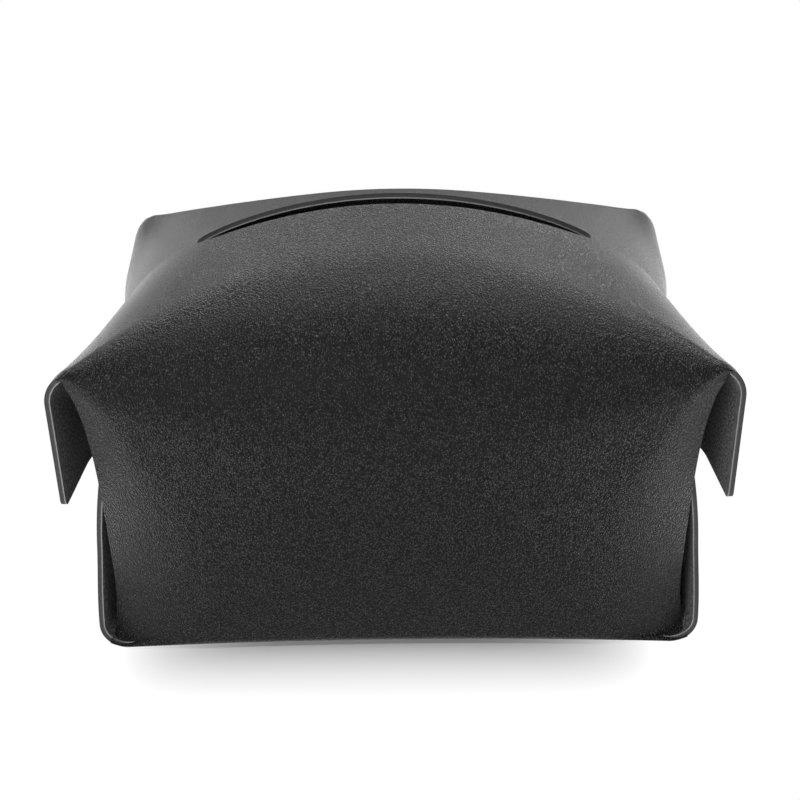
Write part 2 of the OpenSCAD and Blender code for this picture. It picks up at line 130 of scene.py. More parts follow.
def section(x, k, foot_z, foot_end):
    """A point of half the cross-section at each distance x from mid length: how far out, how high.

    k counts from the slot's lip (0) over the roof (to 1), the shoulder (to 2), the wall (to 3) and
    the foot (to 4) to the far end of the base or of the closing strip (5).
    """
    s = x / UPPER_BEND_X
    lip_y = mix(SLOT_END_WIDTH, SLOT_WIDTH,
                np.sqrt(1 - np.clip(x / (SLOT_LENGTH / 2), 0, 1) ** SLOT_POWER)) / 2
    lip_z = CREST_HEIGHT - CREST_DROP * s ** 2 - VALLEY_DROP * s ** VALLEY_POWER
    lip = np.stack([lip_y, lip_z], -1)
    corner_z = EAR_HEIGHT + SHOULDER_RISE * (1 - s ** RISE_POWER)
    corner = np.stack([np.full_like(x, SHOULDER_DEPTH / 2), corner_z], -1)
    foot = np.stack([foot_y(x), np.full_like(x, foot_z)], -1)
    roof_u = (lip - corner) / np.linalg.norm(lip - corner, axis=-1, keepdims=True)
    wall_u = (foot - corner) / np.linalg.norm(foot - corner, axis=-1, keepdims=True)
    pitch = np.arctan2(roof_u[..., 1], -roof_u[..., 0])
    turn = math.pi - np.arccos((roof_u * wall_u).sum(-1))
    r = mix(SHOULDER_R_MID, SHOULDER_R_EAR, s ** 2)
    run = (r * np.tan(turn / 2))[..., None]
    middle = roof_u + wall_u
    middle /= np.linalg.norm(middle, axis=-1, keepdims=True)
    centre = corner + middle * (r / np.cos(turn / 2))[..., None]
    foot_turn = math.pi - pitch - turn
    foot_run = FOOT_R * np.tan(foot_turn / 2)
    foot_c = np.stack([foot[..., 0] - foot_run, np.full_like(x, foot_z + FOOT_R)], -1)
    if k < 1:
        p = mix(lip, corner + roof_u * run, k)
    elif k < 2:
        a = pitch + turn * (k - 1)
        p = centre + r[..., None] * np.stack([np.sin(a), np.cos(a)], -1)
    elif k < 3:
        p = mix(corner + wall_u * run, foot - wall_u * foot_run[..., None], k - 2)
    elif k < 4:
        a = pitch + turn + foot_turn * (k - 3)
        p = foot_c + FOOT_R * np.stack([np.sin(a), np.cos(a)], -1)
    else:
        p = np.stack([mix(foot_c[..., 0], foot_end, k - 4), np.full_like(x, foot_z)], -1)
    if k < 2:
        # v (1 - v) ** 2 is 4 / 27 at its highest
        v = np.clip((p[..., 0] - lip[..., 0]) / (corner[..., 0] - lip[..., 0]), 0, 1)
        lobe = LOBE_RISE * ease((x - SLOT_LENGTH / 4) / (UPPER_BEND_X - SLOT_LENGTH / 4))
        p[..., 1] += lobe * 27 / 4 * v * (1 - v) ** 2
    return p


def row_point(row, x):
    """The section's point for one row: side -1 is the front, 1 the back and 0 the base panel."""
    side, k = row
    x = np.asarray(x, float)
    if side == 0:
        across = (foot_y(UPPER_BEND_X) - FOOT_R / 2) * k
        return np.stack([np.full_like(x, across), np.zeros_like(x)], -1)
    if side < 0:
        return section(x, k, 0.0, 0.0) * [-1, 1]
    return section(x, k, STRIP_Z, foot_y(0.0) - STRIP_WIDTH)


def bulge(y):
    """How far the flaps have left the snap's seat at the distance y from the middle."""
    return ease((abs(y) - SEAT_HALF) / (BULGE_REACH - SEAT_HALF))


SLOPE_STEP = 0.01


def upper_bend(row):
    """Where the upper end fold starts, its first and last slope, its radius and its length."""
    p = row_point(row, UPPER_BEND_X)
    q = row_point(row, UPPER_BEND_X - SLOPE_STEP)
    start = math.atan((q[1] - p[1]) / SLOPE_STEP)
    swell = bulge(p[0])
    end = math.pi / 2 - math.atan(FLARE / (EAR_HEIGHT - UPPER_EDGE_Z)) * swell
    reach = mix(UPPER_SEAT_X, COVER_LENGTH / 2, swell) - UPPER_BEND_X
    r = reach / (math.sin(end) - math.sin(start))
    return p, start, end, r, r * (end - start)


def upper_point(row, d):
    """Points at the distances d past the start of the upper end fold."""
    p, start, end, r, arc = upper_bend(row)
    a = start + np.minimum(d, arc) / r
    past = np.maximum(0, d - arc)
    return np.stack([UPPER_BEND_X + r * (np.sin(a) - math.sin(start)) + past * math.cos(end),
                     np.full_like(d, p[0]),
                     p[1] - r * (math.cos(start) - np.cos(a)) - past * math.sin(end)], -1)


def tip_cut(e):
    """How much of a tongue's end is cut back at the distance e from its side edge."""
    return 0 if e >= TIP_R else TIP_R - math.sqrt(TIP_R ** 2 - (TIP_R - max(0, e)) ** 2)


def upper_end(row):
    """How far past the start of the fold the upper tongue's edge lies."""
    p, start, end, r, arc = upper_bend(row)
    z = p[1] - r * (math.cos(start) - math.cos(end))
    edge = row_point((row[0], 1 + EAR_TAKE), UPPER_BEND_X)[0]
    return arc + (z - UPPER_EDGE_Z - tip_cut(abs(edge) - abs(p[0]))) / math.sin(end)


def lower_point(row, d):
    """Points at the distances d past the start of the lower end fold."""
    p = row_point(row, LOWER_BEND_X)
    a = np.minimum(d, LOWER_ARC) / LOWER_FOLD_R
    z = LOWER_FOLD_R * (1 - np.cos(a)) + np.maximum(0, d - LOWER_ARC)
    top_y = SHOULDER_DEPTH / 2 - LEATHER - FOLD_GAP - CAD_CURL_IN * CURL_ROOM
    taper = top_y / (FOOT_DEPTH / 2 - LEATHER)
    y = p[0] * mix(1, taper, ease(z / (LOWER_EDGE_Z / 2)))
    side = (np.maximum(0, z - LOWER_FOLD_R) / (SNAP_Z - LOWER_FOLD_R)) ** 2
    middle = ease((z - 2 * LOWER_FOLD_R) / (SNAP_Z - SEAT_HALF - 2 * LOWER_FOLD_R))
    lean = LOWER_LEAN * mix(middle, side, bulge(y))
    return np.stack([LOWER_BEND_X + LOWER_FOLD_R * np.sin(a) - lean, y, p[1] + z], -1)


def lower_end(row):
    """How far past the start of the fold the lower tongue's edge lies."""
    p = row_point(row, LOWER_BEND_X)
    edge = row_point((0, 1) if row[0] == 0 else (row[0], 4 - FOOT_TAKE), LOWER_BEND_X)[0]
    return LOWER_ARC + LOWER_EDGE_Z - LOWER_FOLD_R - p[1] - tip_cut(abs(edge) - abs(p[0]))


def sheet_row(row, m, edge):
    """Points of one row at the distances m from the middle, where the row runs to edge."""
    x = np.abs(m)
    section_x = np.minimum(x, UPPER_BEND_X) if row[0] != 0 and row[1] < 3 else x
    points = np.concatenate([x[:, None], row_point(row, section_x)], 1)
    top = row[0] != 0 and row[1] <= 2
    bend_x = UPPER_BEND_X if top else LOWER_BEND_X
    past = (x > bend_x) & (top or row[0] == 0 or row[1] >= 3)
    if past.any():
        folded = (upper_point if top else lower_point)(row, x[past] - bend_x)
        share = 1 - ease((row[1] - 1 - EAR_TAKE) / (1 - EAR_TAKE)) if top else 1
        points[past] = mix(points[past], folded, share)
    if row[0] != 0:
        z = float(row_point(row, EDGE_X)[1])
        near_ear = (z - EAR_HEIGHT * CURL_NARROWS) / (EAR_HEIGHT * (1 - CURL_NARROWS))
        reach = mix(CURL_REACH, CURL_REACH_EAR, ease(near_ear))
        points[:, 1] -= (row[0] * CURL_IN * (reach / CURL_REACH) ** CURL_POWER
                         * np.clip(1 - (edge - x) / reach, 0, 1) ** 2
                         * ease((row[1] - 1 - EAR_TAKE) / (1 - EAR_TAKE))
                         * ease((4 - FOOT_TAKE - row[1]) / (1 - FOOT_TAKE)))
    points[:, 0] *= np.sign(m)
    return points


def edge_at(z):
    """How far out a panel's side edge lies at the height z, with its sweeps to ear and foot."""
    to_ear = 1 - math.sqrt(1 - np.clip(2 * z / EAR_HEIGHT - 1, 0, 1) ** EAR_SWEEP)
    to_foot = np.clip(1 - (z - FOOT_R) / (EAR_HEIGHT / 4), 0, 1) ** 2
    return EDGE_X + EAR_RUNOUT * to_ear + FOOT_RUNOUT * to_foot


def loop_edge(q, far, near):
    """The rim's quarter round from the fold (far) to the side edge (near), at the share q."""
    return far - (far - near) * math.sqrt(1 - (1 - min(1, max(0, q))) ** 2)


def row_edge(row):
    """How far a row of the body runs: to the middle of a fold, or to a panel's side edge."""
    side, k = row
    foot_far = STRIP_EDGE if side > 0 else LOWER_BEND_X + LOWER_SPLIT
    if side == 0 or k >= 4 - FOOT_TAKE:
        return foot_far
    if k <= 1 + EAR_TAKE:
        return UPPER_BEND_X + upper_bend(row)[4] / 2
    if k < 2:
        far = UPPER_BEND_X + upper_bend((side, 1 + EAR_TAKE))[4] / 2
        near = edge_at(float(row_point((side, 2), UPPER_BEND_X)[1]))
        return loop_edge((k - 1 - EAR_TAKE) / (1 - EAR_TAKE), far, near)
    if k < 3:
        return edge_at(float(row_point(row, UPPER_BEND_X)[1]))
    return loop_edge((4 - FOOT_TAKE - k) / (1 - FOOT_TAKE), foot_far, edge_at(FOOT_R))


def steps(a, b, n):
    """n even steps from a, left out, to b."""
    return [mix(a, b, i / n) for i in range(1, n + 1)]


# The blank's rows and columns, which lie closer where a rim turns
TINY = 1e-9
EAR_STEPS = (0.02, 0.04, 0.07, 0.11, 0.16)
FOOT_ROWS = [3.46, 3.5, 3.54, 3.56]
PANEL_ROWS = [0, 0.006, 0.012, 0.018, 0.024, 0.03]
SEAM_SHARE = 0.866
RIM_SHARE = 0.98
half = ([0] + steps(0, 1, 30) + steps(1, 1 + EAR_TAKE, 6)
        + [1 + EAR_TAKE + t for t in EAR_STEPS] + steps(1 + EAR_TAKE + EAR_STEPS[-1], 2, 14)
        + steps(2, 3, 40) + steps(3, FOOT_ROWS[0], 4) + FOOT_ROWS[1:] + [4 - FOOT_TAKE]
        + steps(4 - FOOT_TAKE, 4, 5) + steps(4, 5, 24))
panel = [(0, 1 - t) for t in PANEL_ROWS + steps(PANEL_ROWS[-1], 1 - PANEL_ROWS[-1], 24)]
rows = panel + [(-1, k) for k in half[::-1]] + [(1, k) for k in half]
slot_share = SLOT_LENGTH / 2 / row_edge((-1, 0))
along = ([0] + steps(0, 0.9 * slot_share, 26) + steps(0.9 * slot_share, RIM_SHARE * slot_share, 6)
         + steps(RIM_SHARE * slot_share, slot_share, 4) + steps(slot_share, SEAM_SHARE, 10)
         + steps(SEAM_SHARE, RIM_SHARE, 12) + steps(RIM_SHARE, 1, 5))
centre = len(along) - 1
seam, slot_end = along.index(SEAM_SHARE), along.index(slot_share)
shares = np.array([-s for s in along[:0:-1]] + along)
slot_row = len(panel) + len(half) - 1
slot_cols = (centre - slot_end, centre + slot_end)
upper_rows = [i for i, r in enumerate(rows) if r[0] != 0 and r[1] <= 1 + EAR_TAKE + TINY]
lower_rows = [i for i, r in enumerate(rows)
              if r[0] == 0 or (r[0] < 0 and r[1] >= 4 - FOOT_TAKE - TINY)]
upper_set, lower_set = set(upper_rows), set(lower_rows)
points, quads, parts = [], [], []


def add_grid(grid, part_of, keep=lambda i, j: True, flip=False):
    """Adds a grid of points to the blank, with the number of the piece that each face goes to."""
    base = sum(len(p) for p in points)
    ni, nj = grid.shape[:2]
    points.append(grid.reshape(-1, 3))
    for i in range(ni - 1):
        for j in range(nj - 1):
            if keep(i, j):
                a, b = base + i * nj + j, base + (i + 1) * nj + j
                quads.append((a, b, b + 1, a + 1) if flip else (a, a + 1, b + 1, b))
                parts.append(part_of(i, j))


def body_part(i, j):
    """0 for the body, 1 and 2 for the upper tongues, 3 and 4 for the lower ones."""
    out = abs(j + 0.5 - centre) > seam
    side = 1 if j >= centre else 0
    if out and i in upper_set and i + 1 in upper_set:
        return 1 + side
    if out and i in lower_set and i + 1 in lower_set:
        return 3 + side
    return 0


body = np.array([sheet_row(r, shares * row_edge(r), row_edge(r)) for r in rows])
add_grid(body, body_part, lambda i, j: i != slot_row or j < slot_cols[0] or j >= slot_cols[1])
for side, sign in ((0, -1), (1, 1)):
    tongue = []
    for i in upper_rows:
        arc, end = upper_bend(rows[i])[4], upper_end(rows[i])
        d = np.array([arc / 2] + steps(arc / 2, arc, 10) + steps(arc, end, 22))
        tongue.append(upper_point(rows[i], d) * [sign, 1, 1])
    add_grid(np.array(tongue), lambda i, j: 1 + side, flip=sign < 0)
    tongue = []
    for i in lower_rows:
        d = np.array([LOWER_SPLIT] + steps(LOWER_SPLIT, LOWER_ARC, 8)
                     + steps(LOWER_ARC, lower_end(rows[i]), 32))
        tongue.append(lower_point(rows[i], d) * [sign, 1, 1])
    add_grid(np.array(tongue), lambda i, j: 3 + side, flip=sign < 0)


def flat_pattern(grid, row0, col0):
    """Distances along and across the flat blank, for the grain to follow."""
    across = np.zeros(grid.shape[:2])
    across[1:] = np.cumsum(np.linalg.norm(np.diff(grid, axis=0), axis=-1), 0)
    length = np.zeros(grid.shape[:2])
    length[:, 1:] = np.cumsum(np.linalg.norm(np.diff(grid, axis=1), axis=-1), 1)
    return np.stack([length - length[:, [col0]], across - across[[row0]]], -1)


maps = [flat_pattern(body, slot_row, centre)]
for n, grid_rows in enumerate((upper_rows, lower_rows, upper_rows, lower_rows)):
    g = points[1 + n].reshape(len(grid_rows), -1, 3)
    sign = -1 if n < 2 else 1
    start = maps[0][grid_rows, 0 if sign < 0 else -1]
    run = np.cumsum(np.linalg.norm(np.diff(g, axis=1), axis=-1), 1)
    run = np.concatenate([np.zeros((len(g), 1)), run], 1)
    across = np.repeat(start[:, 1][:, None], g.shape[1], 1)
    maps.append(np.stack([start[:, 0][:, None] + sign * run, across], -1))
blank = bpy.data.meshes.new("blank")
xyz = np.concatenate(points) / 1000
uv = np.concatenate([m.reshape(-1, 2) for m in maps]) / 1000
blank.from_pydata(xyz.tolist(), [], quads)
blank.attributes.new("part", "INT", "FACE").data.foreach_set("value", parts)
blank.attributes.new("place", "INT", "POINT").data.foreach_set("value", range(len(xyz)))
grain_uv = blank.uv_layers.new(name="grain")
corner = np.empty(len(blank.loops), np.int32)
blank.loops.foreach_get("vertex_index", corner)
grain_uv.data.foreach_set("uv", uv[corner].astype(np.float32).ravel())
blank.update()
sheet = bpy.data.objects.new("sheet_blank", blank)
bpy.context.scene.collection.objects.link(sheet)


# The three finishes of the sheet: a pebbled grain side with a soft sheen, a napped suede side in
# dark grey, and the raw cut edge, dark at the grain side and with a light line towards the suede.
# They follow the flat blank, and the edge follows the depth below the grain.
COLOUR_A, COLOUR_B, COLOUR_OUT = 6, 7, 2


def finish_of(name, base, roughness, **sockets):
    """A material with its base colour and roughness, and its other sockets by name."""
    mat = bpy.data.materials.new(name)
    mat.use_nodes = True
    tree = mat.node_tree
    shader = tree.nodes["Principled BSDF"]
    shader.inputs["Base Color"].default_value = (*base, 1)
    shader.inputs["Roughness"].default_value = roughness
    for socket, value in sockets.items():
        shader.inputs[socket.replace("_", " ")].default_value = value
    return mat, tree, shader


def node(tree, kind, sockets=None, **settings):
    """A node with its settings and the values of its sockets."""
    made = tree.nodes.new(kind)
    for name, value in settings.items():
        setattr(made, name, value)
    for socket, value in (sockets or {}).items():
        made.inputs[socket].default_value = value
    return made


def relief_of(tree, shader, height, strength, distance):
    """Makes a height felt on the surface."""
    bump = node(tree, "ShaderNodeBump", {"Strength": strength, "Distance": distance})
    tree.links.new(height, bump.inputs["Height"])
    tree.links.new(bump.outputs[0], shader.inputs["Normal"])


grain, tree, shader = finish_of("grain_leather", (0.0085, 0.0085, 0.009), 0.34,
                                Sheen_Weight=0.05, Sheen_Roughness=0.4)
flat = node(tree, "ShaderNodeUVMap", uv_map="grain")
stretch = node(tree, "ShaderNodeMapping", {"Scale": (1.2, 0.85, 1)})
warp = node(tree, "ShaderNodeTexNoise", {"Scale": 800, "Detail": 2})
bend = node(tree, "ShaderNodeMix", {0: 0.0003}, data_type="RGBA", blend_type="LINEAR_LIGHT")
pebble = node(tree, "ShaderNodeTexVoronoi", feature="SMOOTH_F1")
pebble.inputs["Scale"].default_value = 1800
pebble.inputs["Smoothness"].default_value = 0.5
fine = node(tree, "ShaderNodeTexNoise", {"Scale": 2600, "Detail": 3})
tops = node(tree, "ShaderNodeMapRange", {"From Min": 0.7, "From Max": 0.0})
relief = node(tree, "ShaderNodeMath", {1: 0.1}, operation="MULTIPLY_ADD")
# The pebbles' tops are burnished and reflect more, and their valleys are dull; the weaker
# reflection in the valleys is also painted shade in the creases between the pebbles
burnish_and_valley_shade = node(tree, "ShaderNodeMapRange",
               {"From Min": 0.55, "From Max": 0.9, "To Min": 0.22, "To Max": 1.5})
tree.links.new(flat.outputs[0], stretch.inputs["Vector"])
for noise in (warp, fine):
    tree.links.new(flat.outputs[0], noise.inputs["Vector"])
tree.links.new(stretch.outputs[0], bend.inputs[COLOUR_A])
tree.links.new(warp.outputs["Color"], bend.inputs[COLOUR_B])
tree.links.new(bend.outputs[COLOUR_OUT], pebble.inputs["Vector"])
tree.links.new(pebble.outputs["Distance"], tops.inputs["Value"])
tree.links.new(fine.outputs["Fac"], relief.inputs[0])
tree.links.new(tops.outputs[0], relief.inputs[2])
tree.links.new(relief.outputs[0], burnish_and_valley_shade.inputs["Value"])
tree.links.new(burnish_and_valley_shade.outputs[0], shader.inputs["Specular IOR Level"])
relief_of(tree, shader, relief.outputs[0], 1.0, 0.0003)

suede, tree, shader = finish_of("suede_back", (0.02, 0.02, 0.021), 0.95,
                                Sheen_Weight=0.12, Specular_IOR_Level=0.2)
flat = node(tree, "ShaderNodeUVMap", uv_map="grain")
nap = node(tree, "ShaderNodeTexNoise", {"Scale": 1000, "Detail": 6})
shade = node(tree, "ShaderNodeValToRGB")
for stop, at, tone in zip(shade.color_ramp.elements, (0.4, 0.66),
                          ((0.05, 0.05, 0.051, 1), (0.28, 0.28, 0.284, 1))):
    stop.position, stop.color = at, tone
tree.links.new(flat.outputs[0], nap.inputs["Vector"])
tree.links.new(nap.outputs["Fac"], shade.inputs[0])
tree.links.new(shade.outputs[0], shader.inputs["Base Color"])
relief_of(tree, shader, nap.outputs["Fac"], 0.6, 0.0003)

cut_edge, tree, shader = finish_of("cut_edge", (0.07, 0.07, 0.072), 0.8)
depth = node(tree, "ShaderNodeAttribute", attribute_name="depth")
place = node(tree, "ShaderNodeTexCoord")
fibre = node(tree, "ShaderNodeTexNoise", {"Scale": 1100, "Detail": 5})
band = node(tree, "ShaderNodeValToRGB")
ramp = band.color_ramp
ramp.elements[0].color = (0.04, 0.04, 0.041, 1)
ramp.elements[1].position = 0.12
ramp.elements[1].color = (0.1, 0.1, 0.099, 1)
for at, tone in ((0.72, 0.13), (0.9, 0.75), (1.0, 0.45)):
    ramp.elements.new(at).color = (tone, tone * 0.99, tone * 0.97, 1)
mottle = node(tree, "ShaderNodeMix", {0: 0.7}, data_type="RGBA", blend_type="MULTIPLY")
tree.links.new(place.outputs["Object"], fibre.inputs["Vector"])
tree.links.new(depth.outputs["Fac"], band.inputs[0])
tree.links.new(band.outputs[0], mottle.inputs[COLOUR_A])
tree.links.new(fibre.outputs["Color"], mottle.inputs[COLOUR_B])
tree.links.new(mottle.outputs[COLOUR_OUT], shader.inputs["Base Color"])
relief_of(tree, shader, fibre.outputs["Fac"], 0.7, 0.0002)

# The thickness of the blank, made from its grain side: the suede side lies one thickness in, the
# cut edge closes the two along every rim, and the rims are rounded a little. The blank is then cut
# in the folds, one piece for the body and one for each tongue, which share their normals there.
RIM_ROUND = 0.00028
RIM_ANGLE = 55
WELD = 1e-6
thick = bpy.data.node_groups.new("leather_thickness", "GeometryNodeTree")
thick.interface.new_socket("Geometry", in_out="INPUT", socket_type="NodeSocketGeometry")
size_in = thick.interface.new_socket("Thickness", in_out="INPUT", socket_type="NodeSocketFloat")
for label in ("Grain", "Suede", "Edge"):
    thick.interface.new_socket(label, in_out="INPUT", socket_type="NodeSocketMaterial")
thick.interface.new_socket("Geometry", in_out="OUTPUT", socket_type="NodeSocketGeometry")

g_in, g_out = node(thick, "NodeGroupInput"), node(thick, "NodeGroupOutput")
weld = node(thick, "GeometryNodeMergeByDistance", {"Distance": WELD})
smooth = node(thick, "GeometryNodeSetShadeSmooth")
normal = node(thick, "GeometryNodeInputNormal")
inward = node(thick, "ShaderNodeVectorMath", operation="SCALE")
minus = node(thick, "ShaderNodeMath", {1: -1}, operation="MULTIPLY")
outer_depth, inner_depth = (node(thick, "GeometryNodeStoreNamedAttribute", {"Name": "depth"},
                                 data_type="FLOAT", domain="POINT") for _ in range(2))
inner_depth.inputs["Value"].default_value = 1
extrude = node(thick, "GeometryNodeExtrudeMesh", {"Individual": False}, mode="FACES")
grain_set, suede_set, edge_set = (node(thick, "GeometryNodeSetMaterial") for _ in range(3))
flip = node(thick, "GeometryNodeFlipFaces")
join = node(thick, "GeometryNodeJoinGeometry")
close = node(thick, "GeometryNodeMergeByDistance", {"Distance": WELD})
real = node(thick, "GeometryNodeRealizeInstances")
wire = thick.links.new
wire(g_in.outputs["Geometry"], weld.inputs["Geometry"])
wire(weld.outputs[0], outer_depth.inputs["Geometry"])
wire(outer_depth.outputs[0], extrude.inputs["Mesh"])
wire(g_in.outputs["Thickness"], minus.inputs[0])
wire(normal.outputs[0], inward.inputs[0])
wire(minus.outputs[0], inward.inputs["Scale"])
wire(inward.outputs[0], extrude.inputs["Offset"])
wire(extrude.outputs["Mesh"], inner_depth.inputs["Geometry"])
wire(extrude.outputs["Top"], inner_depth.inputs["Selection"])
wire(inner_depth.outputs[0], flip.inputs[0])
wire(flip.outputs[0], suede_set.inputs["Geometry"])
wire(g_in.outputs["Suede"], suede_set.inputs["Material"])
wire(outer_depth.outputs[0], grain_set.inputs["Geometry"])
wire(g_in.outputs["Grain"], grain_set.inputs["Material"])
wire(grain_set.outputs[0], join.inputs[0])
wire(suede_set.outputs[0], join.inputs[0])
wire(join.outputs[0], close.inputs["Geometry"])
wire(close.outputs[0], smooth.inputs["Geometry"])
wire(smooth.outputs[0], real.inputs[0])
wire(real.outputs[0], edge_set.inputs["Geometry"])
wire(extrude.outputs["Side"], edge_set.inputs["Selection"])
wire(g_in.outputs["Edge"], edge_set.inputs["Material"])
wire(edge_set.outputs[0], g_out.inputs[0])

modifier = sheet.modifiers.new("thickness", "NODES")
modifier.node_group = thick
for item, value in (("Thickness", LEATHER / 1000), ("Grain", grain), ("Suede", suede),
                    ("Edge", cut_edge)):
    modifier[thick.interface.items_tree[item].identifier] = value
round_off = sheet.modifiers.new("rounded_rim", "BEVEL")
round_off.width = RIM_ROUND
round_off.segments = 2
round_off.limit_method = "ANGLE"
round_off.angle_limit = math.radians(RIM_ANGLE)
round_off.harden_normals = True
graph = bpy.context.evaluated_depsgraph_get()
whole = bpy.data.meshes.new_from_object(sheet.evaluated_get(graph), preserve_all_data_layers=True,
                                        depsgraph=graph)
bpy.data.objects.remove(sheet)


def read(data, name, width=1, kind=np.float32):
    """The values of one property of a mesh, in rows of the given width."""
    values = np.zeros(len(data) * width, kind)
    data.foreach_get(name, values)
    return values.reshape(-1, width) if width > 1 else values


part = read(whole.attributes["part"].data, "value", kind=np.int32)
corner = read(whole.loops, "vertex_index", kind=np.int32)
first = read(whole.polygons, "loop_start", kind=np.int32)
count = read(whole.polygons, "loop_total", kind=np.int32)
slots = read(whole.polygons, "material_index", kind=np.int32)
co = read(whole.vertices, "co", 3)
normals = read(whole.corner_normals, "vector", 3)
uv = read(whole.uv_layers["grain"].data, "uv", 2)
depths = read(whole.attributes["depth"].data, "value")
places = read(whole.attributes["place"].data, "value", kind=np.int32)
GRAIN_SLOT = whole.materials.find("grain_leather")
EDGE_SLOT = whole.materials.find("cut_edge")
MID_DEPTH = 0.5


def cut_piece(name, number):
    """One piece of the sheet, with its cuts in the folds closed by faces."""
    faces = np.flatnonzero(part == number)
    loops = np.concatenate([np.arange(first[f], first[f] + count[f]) for f in faces])
    used, local = np.unique(corner[loops], return_inverse=True)
    starts = np.concatenate([[0], np.cumsum(count[faces])])
    after = np.arange(1, len(loops) + 1)
    after[starts[1:] - 1] = starts[:-1]
    pairs = np.sort(np.stack([local, local[after]]), 0)
    once = np.unique(pairs[0] * len(used) + pairs[1], return_index=True, return_counts=True)
    rim = once[1][once[2] == 1]
    depth_of, place_of = depths[used], places[used]
    outer = [(a, b) for a, b in zip(local[rim], local[after[rim]])
             if depth_of[[a, b]].max() < MID_DEPTH]
    inner = {place_of[v]: v for v in local[rim] if depth_of[v] > MID_DEPTH}
    caps = [[b, a, inner[place_of[a]], inner[place_of[b]]] for a, b in outer
            if place_of[a] != place_of[b] and place_of[a] in inner and place_of[b] in inner]
    mesh = bpy.data.meshes.new(name)
    mesh.from_pydata(co[used].tolist(), [],
                     [local[starts[i]:starts[i + 1]].tolist() for i in range(len(faces))] + caps)
    for mat in whole.materials:
        mesh.materials.append(mat)
    mesh.polygons.foreach_set("material_index", np.append(slots[faces], [EDGE_SLOT] * len(caps)))
    mesh.polygons.foreach_set("use_smooth", np.ones(len(faces) + len(caps), bool))
    on_caps = 4 * len(caps)
    piece_uv = np.append(uv[loops], np.zeros(2 * on_caps))
    mesh.uv_layers.new(name="grain").data.foreach_set("uv", piece_uv)
    mesh.attributes.new("depth", "FLOAT", "POINT").data.foreach_set("value", depth_of)
    mesh.update()
    mesh.normals_split_custom_set(normals[loops].tolist() + [(0, 0, 0)] * on_caps)
    piece = bpy.data.objects.new(name, mesh)
    bpy.context.scene.collection.objects.link(piece)
    return piece


# The body of the cover and its four tongues, each cut from it in the middle of its fold.
wrap = cut_piece("leather_wrap", 0)
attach(wrap, "cover")
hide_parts("cover_sheet")
for number, side, sign in ((1, "left", -1), (2, "right", 1)):
    tongue = cut_piece(side + "_upper_tongue", number)
    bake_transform(tongue)
    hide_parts(side + "_upper_flap")
    tongue = cut_piece(side + "_lower_tongue", number + 2)
    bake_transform(tongue)
    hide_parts(side + "_lower_flap")

# The snaps and rivets are pressed from steel. The caps are lacquered satin black, the sockets,
# studs, posts and rivets are nickel plated, and the ring in each socket is drawn spring wire. They
# keep the shapes of their solids. For each finish: its colour, how metallic, its least and greatest
# roughness, and the height of its grit.
METALS = {"cap": ((0.012, 0.012, 0.013), 0.0, (0.22, 0.4), 0.00002),
          "spring": ((0.5, 0.42, 0.28), 1.0, (0.2, 0.35), 0.00001),
          "nickel": ((0.62, 0.6, 0.57), 1.0, (0.18, 0.36), 0.00001)}
finishes = {}
for kind, (base, metallic, (smoothest, roughest), grit) in METALS.items():
    finishes[kind], tree, shader = finish_of("snap_" + kind, base, smoothest, Metallic=metallic)
    place = node(tree, "ShaderNodeTexCoord")
    brushed = node(tree, "ShaderNodeTexNoise", {"Scale": 900, "Detail": 4})
    polish = node(tree, "ShaderNodeMapRange", {"To Min": smoothest, "To Max": roughest})
    tree.links.new(place.outputs["Object"], brushed.inputs["Vector"])
    tree.links.new(brushed.outputs["Fac"], polish.inputs["Value"])
    tree.links.new(polish.outputs[0], shader.inputs["Roughness"])
    relief_of(tree, shader, brushed.outputs["Fac"], 1.0, grit)
for name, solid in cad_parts.items():
    if "snap" in name or "rivet" in name:
        kind = "cap" if "snap_cap" in name else "spring" if "spring" in name else "nickel"
        solid.data.materials.clear()
        solid.data.materials.append(finishes[kind])

# The studio: a white table which is pure white away from the cover and to all that looks past it,
# with a painted soft contact shadow: a mask close in front of the cover within which the table
# shows its own lit grey.
# In the leather's reflections the table is a painted glow, brighter at both sides and close in
# front.
# The lamps are broad softboxes above, behind and at the sides.
# The mask of the painted contact shadow: its half width, its shift, where it starts, how far it
# runs and how sharply it ends at the sides
SHADOW_HALF = 0.09
SHADOW_SHIFT = 0.004
SHADOW_START = 0.0725
SHADOW_RUN = 0.024
SHADOW_POWER = 4.0
FLOOR_HALF = 4
FLOOR_GAP = 0.0002
# The painted glow of the table in the leather's reflections: its base strength, its brighter parts
# at the sides and in front, where the side part turns and how it slants
REFLECTED_GLOW_BASE = 0.35
REFLECTED_GLOW_SIDE = (0.073, 0.12, 1.8)
REFLECTED_GLOW_FRONT = (0.17, 0.075, 0.4)
REFLECTED_GLOW_TURN_Y = 0.075
REFLECTED_GLOW_SLANT = -0.32
floor_mesh = bpy.data.meshes.new("floor")
floor_mesh.from_pydata([(-FLOOR_HALF, -FLOOR_HALF, 0), (FLOOR_HALF, -FLOOR_HALF, 0),
                        (FLOOR_HALF, FLOOR_HALF, 0), (-FLOOR_HALF, FLOOR_HALF, 0)],
                       [], [(0, 1, 2, 3)])
floor = bpy.data.objects.new("floor", floor_mesh)
floor.location.z = -FLOOR_GAP
bpy.context.scene.collection.objects.link(floor)
mat, tree, shader = finish_of("floor_white", (0.93, 0.93, 0.93), 0.6, Specular_IOR_Level=0.2)
glow = node(tree, "ShaderNodeEmission")
path = node(tree, "ShaderNodeLightPath")
place = node(tree, "ShaderNodeTexCoord")
spot = node(tree, "ShaderNodeSeparateXYZ")
tree.links.new(place.outputs["Object"], spot.inputs[0])


def maths(operation, *values, clamp=False):
    """One step of a sum in the floor's material, from numbers and sockets."""
    made = node(tree, "ShaderNodeMath", operation=operation, use_clamp=clamp)
    for socket, value in zip(made.inputs, values):
        if isinstance(value, float):
            socket.default_value = value
        else:
            tree.links.new(value, socket)
    return made.outputs[0]
